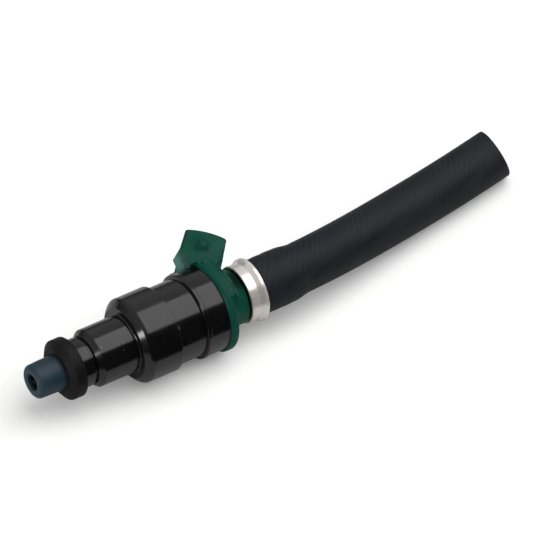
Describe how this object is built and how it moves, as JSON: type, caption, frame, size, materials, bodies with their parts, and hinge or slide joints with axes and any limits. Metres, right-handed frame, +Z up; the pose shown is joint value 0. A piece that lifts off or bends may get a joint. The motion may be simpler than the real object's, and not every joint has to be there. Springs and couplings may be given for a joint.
{
  "type": "fuel injector",
  "caption": "Port fuel injector with a stepped black steel body, green side connector, pintle nozzle with seal ring, and a short rubber hose tail held in a metal ferrule.",
  "frame": {"origin": "on the injector's axis, at the back edge of the nozzle seal", "axes": "+X along the injector's axis from the nozzle to the hose, +Z up from the surface that it lies on"},
  "size_m": [0.1593, 0.0355, 0.0274],
  "materials": {
    "cap_plastic": "satin moulded",
    "seal_rubber": "matte",
    "black_steel": "gloss black",
    "plain_steel": "ground",
    "spring_steel": "drawn",
    "copper": "enamelled wire",
    "bobbin_plastic": "moulded",
    "green_plastic": "moulded",
    "terminal_metal": "tinned",
    "ferrule_metal": "satin nickel",
    "hose_rubber": "matte, cloth-marked",
    "strainer_mesh": "fine mesh"
  },
  "bodies": {
    "injector": {"pintle_cap": "cap_plastic", "nozzle_seal": "seal_rubber", "nozzle_body": "black_steel", "stop_plate": "plain_steel", "spacer_ring": "plain_steel", "valve_housing": "black_steel", "rear_collar": "black_steel", "coil_bobbin": "bobbin_plastic", "coil_winding": "copper", "flux_plate": "plain_steel", "inlet_tube": "plain_steel", "adjusting_sleeve": "plain_steel", "inlet_strainer": "strainer_mesh", "upper_o_ring": "seal_rubber", "lower_o_ring": "seal_rubber", "return_spring": "spring_steel", "connector_moulding": "green_plastic", "terminal_blade_left": "terminal_metal", "terminal_blade_right": "terminal_metal", "hose_ferrule": "ferrule_metal", "fuel_hose": "hose_rubber"},
    "valve_needle": {"needle": "plain_steel", "armature": "plain_steel"}
  },
  "joints": [
    {"name": "needle_lift", "type": "slide", "parent": "injector", "child": "valve_needle", "axis": [1, 0, 0], "range_m": [0, 0.00015], "stiffness_N_per_m": 3000, "springref_m": -0.001, "deforming": ["return_spring"]}
  ]
}
